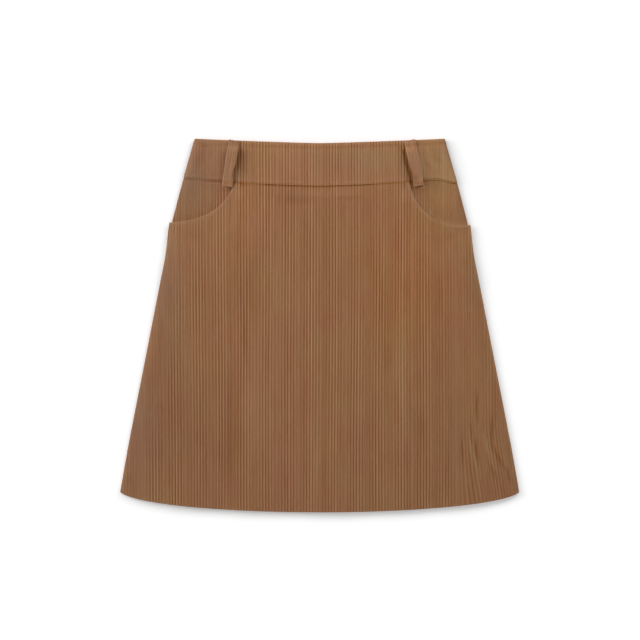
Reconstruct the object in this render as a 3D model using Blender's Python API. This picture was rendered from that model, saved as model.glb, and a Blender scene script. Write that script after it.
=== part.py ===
"""A corduroy A-line skort laid flat on its back, built from the pieces that are cut and sewn.

+X runs across the garment, +Y from hem to waist, +Z up from the surface that it lies on. The origin is
at the middle of the footprint. Every piece is a wall taken from one lattice of the garment: u runs
across, from -1 at one side seam to +1 at the other, and v runs down, from 0 at the waist seam to 1 at
the hem. On the waistband, r runs up from 0 at the waist seam to 1 at the top edge. Pieces that share
the lattice's lines stay parallel, so they lie on each other with the same gap everywhere.
"""

import math

import bpy
import numpy as np

MM = 0.001  # every size below is in millimetres, and meshes are made in metres

# Lengths along the garment
WAIST_Y = 243.0  # top edge of the band at the side seams
TOP_DIP = 6.0  # the top edge sags between the belt loops
TOP_BEND = 1.25
SEAM_Y = 181.4  # waist seam at the centre
SEAM_RISE = 9.7  # and how much higher it is at the sides
SEAM_BEND = 1.6
HEM_Y = -243.0  # hem at the centre
HEM_RISE = 30.5  # the hem is a flat ellipse with this height
HEM_REACH = 1.0115  # and this half width, as a share of the hem's own

# Outline: how far below the waist's top edge, and half the width there
POCKET_END_DROP = 107.0
OUTLINE_COLUMNS = ("drop", "half_width")
OUTLINE = (
    (0.0, 162.7),
    (53.3, 178.0),
    (POCKET_END_DROP, 192.0),
    (158.0, 201.9),
    (212.6, 212.8),
    (275.0, 224.9),
    (337.4, 237.2),
    (399.8, 249.3),
    (460.2, 260.0),
)

# Thicknesses, and the gap between pieces
GAP = 0.3
CLOTH = 1.4  # one layer of corduroy
FACING = 1.2
BAND = 3.3  # two layers with the seam allowances between them
LINING = 0.8  # the shorts' cloth
STRAP = 1.8  # a belt loop's folded strap

# Lattice lines. Both sides share them, and each pocket mouth adds its own.
LINES_U = (0.0, 0.12, 0.22, 0.32, 0.42, 0.51, 0.59, 0.67, 0.75, 0.82, 0.88, 0.92, 0.96, 0.985, 1.0)
LINES_V = (0.0, 0.025, 0.10, 0.175, 0.26, 0.35, 0.43, 0.51, 0.61, 0.72, 0.83, 0.92, 1.0)
LINES_R = (0.0, 0.12, 0.5, 0.88, 0.955, 0.985, 1.0)

# Side seams: the front rolls down to the back over this share of the half width
ROLL_AT_WAIST = 0.05
ROLL_BELOW = 0.12
ROLL_GROWS_BY_V = 0.15
BAND_ROLL = 0.04  # the band's round side fold, as a share of the half width
BAND_ROLL_DEPTH = 2.2
BAND_FOLD = 0.06  # the band's round top fold, as a share of its height
BAND_FOLD_DEPTH = 1.3

# Pocket mouths: a curve from the waist seam to the side seam, pulled by two handles
POCKET_COLUMNS = ("side", "mouth_x", "fall_x", "fall_y", "run_x", "run_y", "end_y")
POCKETS = (
    (-1, 110.5, 11.5, 29.0, 51.0, 3.5, 134.0),
    (1, 117.0, 3.0, 28.0, 41.0, -9.0, 131.0),
)
POCKET_STEPS_U = (0.015, 0.03, 0.05, 0.07, 0.10, 0.13, 0.16, 0.19)  # lines added past the mouth
POCKET_CLEAR_U = 0.03  # and no other line this near them
POCKET_END_ROW = 4  # from this row down, the front shares the lattice's rows
POCKET_BULGE = 3.2  # the front's side edge stands out at the pocket's end
POCKET_BULGE_FADES = 50.0
FACING_INNER_U = 0.51
FACING_LINES_V = LINES_V[: POCKET_END_ROW + 1]

# Belt loops: where the strap's middle starts on the top edge and ends below the waist seam
LOOP_WIDTH = 14.5
LOOP_COLUMNS = ("side", "top_x", "foot_x")
FRONT_LOOPS = ((-1, 110.8, 119.7), (1, 116.7, 128.2))
FRONT_LOOP_FOOT = 5.0  # past the waist seam
LOOP_STANDS_OFF = 4.8  # room for a belt
LOOP_HEAD = 6.5  # the strap's sewn ends
LOOP_TOE = 6.0
LOOP_BEND = 8.0
BACK_LOOP_U = 0.37
BACK_LOOP_THICK = 1.3
BACK_LOOP_FOOT = 3.0
LOOP_STEPS = 24

# The back loops lift what lies on them: share of their height, at these lines across and down.
# The front layers arch over the lifted ones in one soft crown.
LIFT = BACK_LOOP_THICK + GAP
LIFT_ACROSS = ((0.22, 0.0), (0.32, 1.0), (0.42, 1.0), (0.51, 0.0))
LIFT_DOWN = ((0.025, 1.0), (0.175, 0.0))
CROWN = 2.1
CROWN_REACH_U = 0.88
CROWN_STARTS_V = 0.025
CROWN_ENDS_V = 0.43

# The front lies higher over the facings and just under the band
OVER_FACING_ACROSS = ((0.32, 0.0), (0.51, 1.0))
OVER_FACING_DOWN = ((0.26, 1.0), (0.35, 0.35), (0.43, 0.0))
PUFF = 0.6
PUFF_DOWN = ((0.0, 1.0), (0.175, 0.4), (0.51, 0.0))

# Soft folds of the front that open towards the hem
FOLD_COLUMNS = ("u", "width", "height", "starts_v")
FOLDS = (
    (-0.66, 0.13, 1.2, 0.40),
    (-0.33, 0.10, 0.8, 0.55),
    (0.08, 0.15, 1.3, 0.35),
    (0.42, 0.10, 0.9, 0.50),
    (0.71, 0.11, 1.1, 0.45),
)

# Inner shorts, centre back seam and zip
SHORTS_EDGE_U = 0.865
SHORTS_CROTCH_ROW = 7
SHORTS_HEM_ROW = 10
SHORTS_LEG_GAP = 14.0
BACK_HEM_SHORT = 0.006  # the back is this share shorter than the front
ZIP_HALF_WIDTH = 12.0
ZIP_TAPE = 0.4
ZIP_COIL_HALF_WIDTH = 2.5
ZIP_COIL = 0.8
ZIP_END_ROW = 6

BACK_TOP = CLOTH
SHORTS_BACK_Z = BACK_TOP + GAP
SHORTS_FRONT_Z = SHORTS_BACK_Z + LINING + GAP
FRONT_Z = SHORTS_FRONT_Z + LINING + GAP
FRONT_BAND_Z = BAND + GAP
BAND_TOP = FRONT_BAND_Z + BAND

# Material: red, green, blue, roughness
CORDUROY = (0.275, 0.130, 0.062, 0.92)
CORDUROY_FACING = (0.262, 0.124, 0.060, 0.92)
CORDUROY_BAND = (0.302, 0.147, 0.072, 0.92)
CORDUROY_LOOP = (0.320, 0.165, 0.089, 0.90)
SHORTS_CLOTH = (0.150, 0.078, 0.045, 0.80)
ZIP_CLOTH = (0.120, 0.062, 0.036, 0.70)


def ramp(at, table):
    """The value at one place, on straight lines between the table's (place, value) rows."""
    places, values = zip(*table)
    return float(np.interp(at, places, values))


def smooth(t):
    t = min(max(t, 0.0), 1.0)
    return t * t * (3.0 - 2.0 * t)


def half_width(y):
    return ramp(WAIST_Y - y, OUTLINE)


def top_y(u):
    return WAIST_Y - TOP_DIP * (1.0 - abs(u) ** TOP_BEND)


def seam_y(u):
    return SEAM_Y + SEAM_RISE * abs(u) ** SEAM_BEND


def hem_y(u):
    return HEM_Y + HEM_RISE * (1.0 - math.sqrt(1.0 - (u / HEM_REACH) ** 2))


def body_point(u, v):
    """The place of a lattice point on the skirt: x, y."""
    y = seam_y(u) + (hem_y(u) - seam_y(u)) * v
    return u * half_width(y), y


def band_point(u, r):
    """The place of a lattice point on the waistband: x, y."""
    y = seam_y(u) + (top_y(u) - seam_y(u)) * r
    return u * half_width(y), y


def loop_lift(u, v):
    """How far the back belt loops lift the layers above them."""
    return LIFT * ramp(abs(u), LIFT_ACROSS) * ramp(v, LIFT_DOWN)


def crown(u, v):
    """How far the front layers arch over what the back loops lift."""
    down = smooth((CROWN_ENDS_V - v) / (CROWN_ENDS_V - CROWN_STARTS_V))
    return CROWN * max(1.0 - (u / CROWN_REACH_U) ** 2, 0.0) * down


def rise(u, v):
    """Height under the outermost front layer: it rolls down to the back at each side seam."""
    width = ROLL_AT_WAIST + (ROLL_BELOW - ROLL_AT_WAIST) * smooth(v / ROLL_GROWS_BY_V)
    t = min((1.0 - abs(u)) / width, 1.0)
    rolled = math.sqrt(max(1.0 - (1.0 - t) ** 2, 0.0))
    return SHORTS_BACK_Z + (FRONT_Z - SHORTS_BACK_Z) * rolled + crown(u, v)


def fold_height(u, v):
    """The front's soft folds."""
    total = 0.0
    for centre, width, height, starts in FOLDS:
        across = math.exp(-(((u - centre) / width) ** 2))
        total += height * across * smooth((v - starts) / (1.0 - starts))
    return total * smooth((1.0 - abs(u)) / ROLL_BELOW)


def front_z(u, v):
    """Height under the front panel."""
    over = ramp(abs(u), OVER_FACING_ACROSS) * ramp(v, OVER_FACING_DOWN)
    puff = PUFF * (1.0 - over) * ramp(v, PUFF_DOWN) * smooth((1.0 - abs(u)) / ROLL_BELOW)
    return rise(u, v) + over * (FACING + GAP) + puff + fold_height(u, v)


def pocket(side):
    return next(dict(zip(POCKET_COLUMNS, row)) for row in POCKETS if row[0] == side)


def mouth_u(side):
    """Where the pocket's mouth leaves the waist seam."""
    u = 0.0
    for _ in range(8):
        u = pocket(side)["mouth_x"] / half_width(seam_y(u))
    return u


def mouth_line(side, points=60):
    """The mouth's curve as lattice places: rising |u|, and v for each."""
    p = pocket(side)
    start = np.array((p["mouth_x"], seam_y(mouth_u(side))))
    end = np.array((half_width(p["end_y"]), p["end_y"]))
    fall = start + np.array((p["fall_x"], -p["fall_y"]))
    run = end + np.array((-p["run_x"], p["run_y"]))
    places = []
    for t in np.linspace(0.0, 1.0, points):
        x, y = (
            (1 - t) ** 3 * start + 3 * t * (1 - t) ** 2 * fall + 3 * t * t * (1 - t) * run + t**3 * end
        )
        u = x / half_width(y)
        places.append((u, (seam_y(u) - y) / (seam_y(u) - hem_y(u))))
    return places


def lines_u(side, inner=0.0, outer=1.0, extra=()):
    """The lattice's lines on one side, from the middle out, between two of them."""
    lines = {u for u in (*LINES_U, *extra) if inner <= u <= outer}
    return [side * u for u in sorted(lines)]


def wall(name, colour, columns):
    """A closed wall from columns of (x, y, underside, top), ordered by rising x, each from waist to hem.

    Its squares are split along diagonals that mirror each other left and right of the middle.
    """
    grid = np.array(columns, float)
    across, down = grid.shape[:2]
    under = grid[:, :, [0, 1, 2]].reshape(-1, 3)
    over = grid[:, :, [0, 1, 3]].reshape(-1, 3)
    shift = across * down

    def at(i, j):
        return i * down + j

    faces = []
    for i in range(across - 1):
        is_left = grid[i, 0, 0] + grid[i + 1, 0, 0] < 0.0
        for j in range(down - 1):
            a, b, c, d = at(i, j), at(i, j + 1), at(i + 1, j + 1), at(i + 1, j)
            halves = ((a, b, d), (b, c, d)) if is_left else ((a, b, c), (a, c, d))
            for half in halves:
                faces.append(tuple(k + shift for k in half))
                faces.append(half[::-1])
    rim = [at(0, j) for j in range(down)]
    rim += [at(i, down - 1) for i in range(1, across)]
    rim += [at(across - 1, j) for j in range(down - 2, -1, -1)]
    rim += [at(i, 0) for i in range(across - 2, 0, -1)]
    for k, here in enumerate(rim):
        after = rim[(k + 1) % len(rim)]
        faces.append((here, after, after + shift, here + shift))
    return solid(name, colour, np.vstack((under, over)), faces)


def solid(name, colour, points, faces):
    mesh = bpy.data.meshes.new(name)
    mesh.from_pydata([tuple(p * MM) for p in points], [], faces)
    mesh.materials.append(cloth_material(name, colour))
    made = bpy.data.objects.new(name, mesh)
    bpy.context.collection.objects.link(made)
    return made


def cloth_material(name, colour):
    material = bpy.data.materials.new(name)
    material.use_nodes = True
    shader = material.node_tree.nodes["Principled BSDF"]
    shader.inputs["Base Color"].default_value = (*colour[:3], 1.0)
    shader.inputs["Roughness"].default_value = colour[3]
    shader.inputs["Metallic"].default_value = 0.0
    return material


def sewn(u, v):
    """A skirt point, kept half a gap below the waist seam."""
    x, y = body_point(u, v)
    return x, y - (GAP / 2 if v == 0.0 else 0.0)


def back_panel(side, name):
    columns = []
    for u in lines_u(side):
        column = []
        for v in LINES_V:
            x, y = sewn(u, v * (1.0 - BACK_HEM_SHORT))
            x += side * GAP / 2 if u == 0.0 else 0.0
            low = loop_lift(u, v)
            column.append((x, y, low, low + CLOTH))
        columns.append(column)
    return wall(name, CORDUROY, columns[::side])


def front_panel():
    columns = []
    for side in (-1, 1):
        mouth = mouth_line(side)
        start = mouth_u(side)
        own = [start, *(start + step for step in POCKET_STEPS_U)]
        low, high = own[0] - POCKET_CLEAR_U, own[-1] + POCKET_CLEAR_U
        shared = [u for u in LINES_U if not low < u < high]
        half = []
        for line in sorted(shared + own):
            first = ramp(line, mouth) if line > start else 0.0
            half.append(front_column(side * line, first))
        columns += half[::-1] if side < 0 else half[1:]
    return wall("front_panel", CORDUROY, columns)


def front_column(u, first):
    """One line of the front, from the waist seam or the pocket's mouth down to the hem."""
    last_own = LINES_V[POCKET_END_ROW]
    edge_share = max(1.0 - (1.0 - abs(u)) / ROLL_BELOW, 0.0)
    column = []
    for row, v in enumerate(LINES_V):
        if row < POCKET_END_ROW:
            v = first + (last_own - first) * v / last_own
        x, y = sewn(u, v)
        below_end = WAIST_Y - POCKET_END_DROP - y
        bulge = POCKET_BULGE * edge_share * (1.0 - smooth(below_end / POCKET_BULGE_FADES))
        low = front_z(u, v)
        column.append((x + math.copysign(bulge, u), y, low, low + CLOTH))
    return column


def pocket_facing(side, name):
    columns = []
    for u in lines_u(side, inner=FACING_INNER_U):
        column = []
        for v in FACING_LINES_V:
            x, y = sewn(u, v)
            low = rise(u, v)
            column.append((x, y, low, low + FACING))
        columns.append(column)
    return wall(name, CORDUROY_FACING, columns[::side])


def band_rounding(u, r):
    """How far the band's outer face falls away at its side fold and its top fold."""
    side_fold = max(1.0 - (1.0 - abs(u)) / BAND_ROLL, 0.0)
    top_fold = max(1.0 - (1.0 - r) / BAND_FOLD, 0.0)
    return max(BAND_ROLL_DEPTH * side_fold**2, BAND_FOLD_DEPTH * top_fold**2)


def band_column(u, is_front, shift_x=0.0):
    column = []
    for r in reversed(LINES_R):
        x, y = band_point(u, r)
        y += GAP / 2 if r == 0.0 else 0.0
        if is_front:
            low = FRONT_BAND_Z + crown(u, 0.0)
            high = low + BAND - band_rounding(u, r)
        else:
            high = BAND + loop_lift(u, 0.0)
            low = high - BAND + band_rounding(u, r)
        column.append((x + shift_x, y, low, high))
    return column


def front_waistband():
    lines = sorted({*lines_u(-1), *lines_u(1)})
    return wall("front_waistband", CORDUROY_BAND, [band_column(u, True) for u in lines])


def back_waistband(side, name):
    columns = [band_column(u, False, side * GAP / 2 if u == 0.0 else 0.0) for u in lines_u(side)]
    return wall(name, CORDUROY_BAND, columns[::side])


def shorts_panel(side, is_front, name):
    """Half of the shorts' front or back: straight down to the crotch, then a leg."""
    rows = LINES_V[: SHORTS_HEM_ROW + 1]
    base = SHORTS_FRONT_Z if is_front else SHORTS_BACK_Z
    crotch = LINES_V[SHORTS_CROTCH_ROW]
    columns = []
    for u in lines_u(side, outer=SHORTS_EDGE_U, extra=(SHORTS_EDGE_U,)):
        column = []
        for row, v in enumerate(rows):
            x, y = sewn(u, v)
            if u == 0.0:
                spread = max(v - crotch, 0.0) / (rows[-1] - crotch)
                x = GAP / 2 + SHORTS_LEG_GAP * spread
                if not is_front and row <= ZIP_END_ROW:
                    x = ZIP_HALF_WIDTH + GAP
                x *= side
            low = base + loop_lift(u, v)
            column.append((x, y, low, low + LINING))
        columns.append(column)
    return wall(name, SHORTS_CLOTH, columns[::side])


def back_zip():
    """The closed zip: its tape on the inside of the centre-back seam, with the coil along its middle."""
    high, low = sewn(0.0, 0.0)[1] - GAP, body_point(0.0, LINES_V[ZIP_END_ROW])[1] + GAP
    base = SHORTS_BACK_Z
    section = (
        (-ZIP_HALF_WIDTH, ZIP_TAPE),
        (-ZIP_COIL_HALF_WIDTH - ZIP_TAPE, ZIP_TAPE),
        (-ZIP_COIL_HALF_WIDTH, ZIP_COIL),
        (ZIP_COIL_HALF_WIDTH, ZIP_COIL),
        (ZIP_COIL_HALF_WIDTH + ZIP_TAPE, ZIP_TAPE),
        (ZIP_HALF_WIDTH, ZIP_TAPE),
    )
    columns = [[(x, y, base, base + tall) for y in (high, low)] for x, tall in section]
    return wall("back_zip", ZIP_CLOTH, columns)


def strap(name, colour, head, foot, width, underside, thick):
    """A flat strap from its head to its foot, with its underside at a height that the caller gives."""
    along = np.array(foot) - np.array(head)
    length = float(np.linalg.norm(along))
    across = np.array((-along[1], along[0])) / length * width / 2
    across *= 1.0 if across[0] > 0 else -1.0
    columns = []
    for share in (-1.0, 1.0):
        column = []
        for t in np.linspace(0.0, 1.0, LOOP_STEPS + 1):
            x, y = np.array(head) + along * t + across * share
            low = underside(x, y, t * length, length)
            column.append((x, y, low, low + thick))
        columns.append(column)
    return wall(name, colour, columns)


def standing_off(x, y, s, length):
    """Height under a front loop: flat where it is sewn, and clear of the band between its ends."""
    rises = smooth((s - LOOP_HEAD) / LOOP_BEND)
    falls = smooth((length - s - LOOP_TOE) / LOOP_BEND)
    band = BAND_TOP + crown(x / half_width(y), 0.0)
    return band + GAP + (LOOP_STANDS_OFF - GAP) * min(rises, falls)


def pressed_flat(x, y, s, length):
    return 0.0


def front_loop(side, name):
    row = next(dict(zip(LOOP_COLUMNS, row)) for row in FRONT_LOOPS if row[0] == side)
    head_u = row["top_x"] / half_width(WAIST_Y)
    foot_u = row["foot_x"] / half_width(SEAM_Y)
    head = (side * row["top_x"], top_y(head_u) - GAP)
    foot = (side * row["foot_x"], seam_y(foot_u) - FRONT_LOOP_FOOT)
    return strap(name, CORDUROY_LOOP, head, foot, LOOP_WIDTH, standing_off, STRAP)


def back_loop(side, name):
    """A back loop, pressed flat between the band and the surface."""
    head = band_point(side * BACK_LOOP_U, 1.0)
    foot = body_point(side * BACK_LOOP_U, 0.0)
    head = (head[0], head[1] - GAP)
    foot = (foot[0], foot[1] - BACK_LOOP_FOOT)
    return strap(name, CORDUROY_LOOP, head, foot, LOOP_WIDTH, pressed_flat, BACK_LOOP_THICK)


def main():
    for old in list(bpy.data.objects):
        bpy.data.objects.remove(old, do_unlink=True)
    front_panel()
    front_waistband()
    back_zip()
    for side, word in ((-1, "left"), (1, "right")):
        back_panel(side, f"back_panel_{word}")
        back_waistband(side, f"back_waistband_{word}")
        pocket_facing(side, f"pocket_facing_{word}")
        shorts_panel(side, True, f"shorts_front_{word}")
        shorts_panel(side, False, f"shorts_back_{word}")
        front_loop(side, f"belt_loop_front_{word}")
        back_loop(side, f"belt_loop_back_{word}")


main()
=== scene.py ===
"""A corduroy A-line skort laid flat: the looks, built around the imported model.

Every cloth piece is a thin closed shell in the place of its CAD solid. A corduroy shell has six lines
of points across each wale, so that every wale and groove is real shape, and its lines follow the
wales where they wander. +X runs across the garment, +Y from hem to waist, +Z up. Sizes are in
millimetres, and meshes are made in metres.
"""

import math

import bpy
import numpy as np
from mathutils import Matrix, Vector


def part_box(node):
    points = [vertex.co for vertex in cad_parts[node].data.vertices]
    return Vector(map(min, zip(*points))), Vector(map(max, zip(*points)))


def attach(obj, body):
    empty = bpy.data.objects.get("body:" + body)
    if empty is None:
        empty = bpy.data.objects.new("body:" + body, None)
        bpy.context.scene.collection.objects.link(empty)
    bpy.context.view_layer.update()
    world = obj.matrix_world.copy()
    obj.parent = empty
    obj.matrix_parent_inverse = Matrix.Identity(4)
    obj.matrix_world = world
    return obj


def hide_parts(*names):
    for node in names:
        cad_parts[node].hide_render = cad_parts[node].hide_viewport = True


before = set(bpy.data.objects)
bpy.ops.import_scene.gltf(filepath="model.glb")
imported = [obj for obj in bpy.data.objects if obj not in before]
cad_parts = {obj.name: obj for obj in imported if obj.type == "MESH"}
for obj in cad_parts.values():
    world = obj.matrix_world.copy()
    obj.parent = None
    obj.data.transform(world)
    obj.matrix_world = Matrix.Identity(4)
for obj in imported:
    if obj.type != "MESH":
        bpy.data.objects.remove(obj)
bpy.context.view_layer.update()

MM = 0.001


def box(node):
    low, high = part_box(node)
    return np.array(low) / MM, np.array(high) / MM


# ---- the garment's form

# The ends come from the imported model, and the curves between them are the garment's own
WAIST_Y = box("front_waistband")[1][1]
SEAM_Y = box("front_waistband")[0][1] - 0.15
HEM_Y = box("front_panel")[0][1]
TOP_DIP, TOP_BEND = 6, 1.25
SEAM_RISE, SEAM_BEND = 9.7, 1.6
SEAM_FALL, SEAM_FALL_FROM, SEAM_FALL_RUN = 6.5, 0.84, 0.17  # its right end falls again
HEM_RISE, HEM_REACH = 30.5, 1.0115
# The drop from the waist's top edge, and half the width there
OUTLINE = (
    (0, 162.7),
    (53.3, 178),
    (107, 192),
    (158, 201.9),
    (212.6, 212.8),
    (275, 224.9),
    (337.4, 237.2),
    (399.8, 249.3),
    (460.2, 260),
)
BACK_HEM_SHORT = 0.006
SEAM_HALF = 0.04  # the centre-back seam is drawn closed

# Thicknesses, and the heights that they add up to
GAP = 0.3
SEAM_GAP = 0.08  # the waist seam is drawn closer than that
CLOTH, FACING, BAND, LINING, STRAP, BACK_STRAP = 1.4, 1.2, 3.3, 0.8, 1.8, 1.3
SHORTS_BACK_Z = CLOTH + GAP
SHORTS_FRONT_Z = SHORTS_BACK_Z + LINING + GAP
FRONT_Z = SHORTS_FRONT_Z + LINING + GAP
FRONT_BAND_Z = BAND + GAP
BAND_TOP = FRONT_BAND_Z + BAND

ROLL_AT_WAIST, ROLL_BELOW, ROLL_GROWS_BY_V = 0.05, 0.12, 0.15  # the side seams' roll, as a share of u
CROWN, CROWN_REACH_U, CROWN_STARTS_V, CROWN_ENDS_V = 2.1, 0.88, 0.025, 0.43
LIFT = BACK_STRAP + GAP
LIFT_ACROSS = ((0.22, 0), (0.32, 1), (0.42, 1), (0.51, 0))
LIFT_DOWN = ((0.025, 1), (0.175, 0))
PUFF = 0.6
PUFF_DOWN = ((0, 1), (0.175, 0.4), (0.51, 0))

# Each mouth is one curve that leaves the waist seam along fall, and meets the side seam along run
POCKETS = {
    -1: {"mouth_x": 110.5, "fall": (11.5, -29), "run": (-51, 3.5), "end_y": 134},
    1: {"mouth_x": 117, "fall": (3, -28), "run": (-41, -9), "end_y": 131},
}
POCKET_END_Y = WAIST_Y - 107
POCKET_BULGE, POCKET_BULGE_FADES = 3.2, 50
FACING_INNER_U, FACING_END_V = 0.51, 0.26
FACING_BEGINS_U, FACING_ENDS_V = (0.32, 0.19), (0.43, -0.17)  # where the front climbs onto them

LOOP_WIDTH = 14.5
FRONT_LOOPS = {-1: (110.8, 119.7), 1: (116.7, 128.2)}  # how far out their heads and feet are
FRONT_LOOP_FOOT = 6.3  # below the waist seam
LOOP_SWELL = 1.1  # how far the band swells against the right loop
LOOP_TILT = {-1: 0.8, 1: 2}  # how far each front loop's inner edge stands up, and its outer edge down
# How much lighter each front loop is painted, the left one darker and the right one lighter
LOOP_SHADE = {-1: -0.09, 1: 0.1}
LOOP_DRAWN_IN = {-1: (43, 10, 2.5), 1: (46, 14, 2.3)}  # below the head, reach, how far
LOOP_STANDS_OFF, LOOP_HEAD, LOOP_TOE, LOOP_BEND = 4.8, 6.5, 6, 8
BACK_LOOP_U, BACK_LOOP_FOOT = 0.37, 3

SHORTS_EDGE_U, SHORTS_CROTCH_V, SHORTS_HEM_V, SHORTS_LEG_GAP = 0.865, 0.51, 0.83, 14
ZIP_HALF_WIDTH, ZIP_END_V = 12, 0.43
ZIP_ROOM = ZIP_HALF_WIDTH + GAP
ZIP_TAPE, ZIP_COIL, ZIP_COIL_HALF = 0.4, 0.62, 2.3
ZIP_PITCH, TOOTH_HALF = 1.45, 2.2

# The front's slow waves: the middle's u, the width and height, and the v where each starts
FOLDS = (
    (-0.66, 0.13, 1.2, 0.4),
    (-0.33, 0.1, 0.8, 0.55),
    (0.08, 0.15, 1.3, 0.35),
    (0.42, 0.1, 0.9, 0.5),
    (0.71, 0.11, 1.1, 0.45),
)


def table(at, rows):
    places, values = zip(*rows)
    return np.interp(at, places, values)


def smooth(t):
    t = np.clip(t, 0, 1)
    return t * t * (3 - 2 * t)


def ramp(at, start, run):
    """From 0 at the start to 1 a run later, or with a negative run from 1 down to 0 at the start."""
    return smooth((at - start) / run)


def bell(d, width):
    return np.exp(-((d / width) ** 2))


def half_width(y):
    return table(WAIST_Y - y, OUTLINE)


def top_y(u):
    return WAIST_Y - TOP_DIP * (1 - np.abs(u) ** TOP_BEND)


def seam_y(u):
    return SEAM_Y + SEAM_RISE * np.abs(u) ** SEAM_BEND - SEAM_FALL * ramp(u, SEAM_FALL_FROM, SEAM_FALL_RUN)


def hem_y(u):
    return HEM_Y + HEM_RISE * (1 - np.sqrt(1 - (u / HEM_REACH) ** 2))


def u_at(x, y):
    """How far across the skirt places are, from -1 at the left side seam to 1 at the right."""
    return np.clip(x / half_width(y), -1, 1)


def from_side(x, y):
    """The distance from the nearer side seam."""
    return (1 - np.abs(u_at(x, y))) * half_width(y)


def lattice(x, y):
    """Across and down on the skirt: u is 1 at the side seams, v is 0 at the waist seam and 1 at the hem."""
    u = u_at(x, y)
    v = (seam_y(u) - y) / (seam_y(u) - hem_y(u))
    return u, np.clip(v, 0, 1)


def below_seam(x, y):
    return seam_y(u_at(x, y)) - y


def place(u, v):
    y = seam_y(u) + (hem_y(u) - seam_y(u)) * v
    return np.stack((u * half_width(y), y), -1)


def loop_lift(u, v):
    return LIFT * table(np.abs(u), LIFT_ACROSS) * table(v, LIFT_DOWN)


def crown(u, v):
    down = ramp(v, CROWN_ENDS_V, CROWN_STARTS_V - CROWN_ENDS_V)
    return CROWN * np.maximum(1 - (u / CROWN_REACH_U) ** 2, 0) * down


def rise(u, v):
    """Height under the outermost front layer, which rolls down to the back at the side seams."""
    width = ROLL_AT_WAIST + (ROLL_BELOW - ROLL_AT_WAIST) * smooth(v / ROLL_GROWS_BY_V)
    t = np.minimum((1 - np.abs(u)) / width, 1)
    return SHORTS_BACK_Z + (FRONT_Z - SHORTS_BACK_Z) * np.sqrt(1 - (1 - t) ** 2) + crown(u, v)


def fold_height(u, v):
    return sum(high * bell(u - at, wide) * ramp(v, starts, 1 - starts) for at, wide, high, starts in FOLDS)


# ---- wales, creases and small shape

WALE = 4.09
WALE_STEPS = (0, 0.12, 0.3, 0.5, 0.7, 0.88)  # where the lines of points run across one wale
WALE_DEPTH = 0.45
CREST, CREST_UNDER = 0.08, -0.12  # how far the wales' tops stand out from the CAD face, on top and under
WALE_MEAN = 0.75  # the mean height across one wale, from 0 at the groove to 1 at the crest
WALE_NOISE = np.random.default_rng(11).uniform(-1, 1, (4, 400))
BEAT, BEAT_TONE = 3.59, 0.25  # a finer tone across the wales strengthens and weakens groups of them

# At the lower right corner the wales lean out with the side seam
LEAN, LEAN_TOP_Y, LEAN_SOFT, LEAN_LEFT_X, LEAN_WIDE = 0.14, -138, 8, 172, 45

# Creases: the x and y of both ends, the width, and the height, which is below 0 for a trough
FRONT_CREASES = (
    (-62, 162, 12, 163.5, 3.5, -0.45),
    (-58, 170.5, 64, 170, 5, 0.3),
    (10, 166, 60, 165, 2.4, -0.45),
    (-47, 156, -38, 135, 4, -0.2),
    (28, 158, 36, 118, 5, -0.22),
    (-100, 160, -112, 60, 9, -0.3),
    (-96, 74, -94, -92, 4, -0.45),
    (-113, -50, -117, -216, 10, -0.28),
    (-3.5, -150, -3, -226, 3, 0.4),
    (133, -105, 136, -165, 8, -0.35),
    (-88, 20, -86, -215, 9, 0.35),
    (86, 90, 92, -150, 10, -0.25),
    (104, 40, 112, -190, 9, 0.35),
    (-196, 60, -222, -120, 7, -0.3),
    (223.5, -116, 225, -170, 2, -1.2),
    (224, -156, 243, -192, 2.2, -0.85),
    (204.5, -84, 204.5, -126, 1.9, -0.9),
    (203, -144, 206, -184, 2, -1),
    (184.5, -144, 187, -186, 2, -0.75),
    (197.5, -122, 198, -152, 1.9, -0.75),
    (191, -142, 209, -198, 2.2, 0.65),
    (212, -138, 227, -188, 2.2, 0.45),
    (222, -178, 230, -204, 2.6, -0.7),
    (243, -184, 249, -206, 2.4, -0.8),
    (236, -148, 250, -202, 2.6, 0.3),
    (175, -168, 186, -220, 3, 0.25),
    (150, 105, 190, 128, 5, -0.25),
    (-140, 112, -186, 121, 5, -0.25),
    (120, 150, 126, 120, 4, -0.2),
)
# Painted shade in the creases' troughs and painted light on their ridges:
CREASE_PAINTED_SHADE = 0.36  # a trough is this much darker for each millimetre
BAND_CREASES = (
    (-150, 232, -160, 200, 4, -0.3),
    (-134, 226, -141, 196, 3.5, 0.3),
    (-98, 238, -96, 190, 4, -0.25),
    (-40, 230, -36, 190, 8, 0.25),
    (20, 234, 24, 190, 9, -0.25),
    (70, 232, 74, 190, 8, 0.25),
    (134, 216, 146, 200, 3, -0.4),
    (141, 218, 153, 203, 3, 0.35),
    (147, 222, 160, 210, 3.5, -0.35),
    (158, 230, 168, 204, 4, 0.25),
)
BACK_CREASES = (
    (60, 165, 150, 120, 8, 0.25),
    (40, 140, 52, -60, 10, 0.3),
    (110, 100, 118, -150, 11, 0.35),
    (170, 30, 196, -140, 9, 0.3),
    (20, 172, 34, 120, 6, 0.2),
    (150, -60, 168, -215, 9, 0.25),
)


def creased(x, y, rows):
    """Soft troughs and ridges, each strongest at its middle and faded out at its ends."""
    z = 0
    for x0, y0, x1, y1, width, height in rows:
        long = math.hypot(x1 - x0, y1 - y0)
        t = np.clip(((x - x0) * (x1 - x0) + (y - y0) * (y1 - y0)) / long**2, 0, 1)
        d = ((x - x0) * (y1 - y0) - (y - y0) * (x1 - x0)) / long + 0.04 * long * (2 * t - 1) ** 2
        z = z + height * bell(d, width) * np.sin(math.pi * t) ** 0.8
    return z


def unevenness(x, y, seed):
    """A slow unevenness of the cloth, between -1 and 1."""
    a = np.sin(x / 31 + y / 97 + seed) * np.sin(y / 43 - x / 120 + 2.1 * seed)
    b = np.sin(x / 17 - y / 61 + 3.7 * seed) * np.sin(y / 25 + x / 73 + seed)
    return 0.65 * a + 0.35 * b


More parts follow.
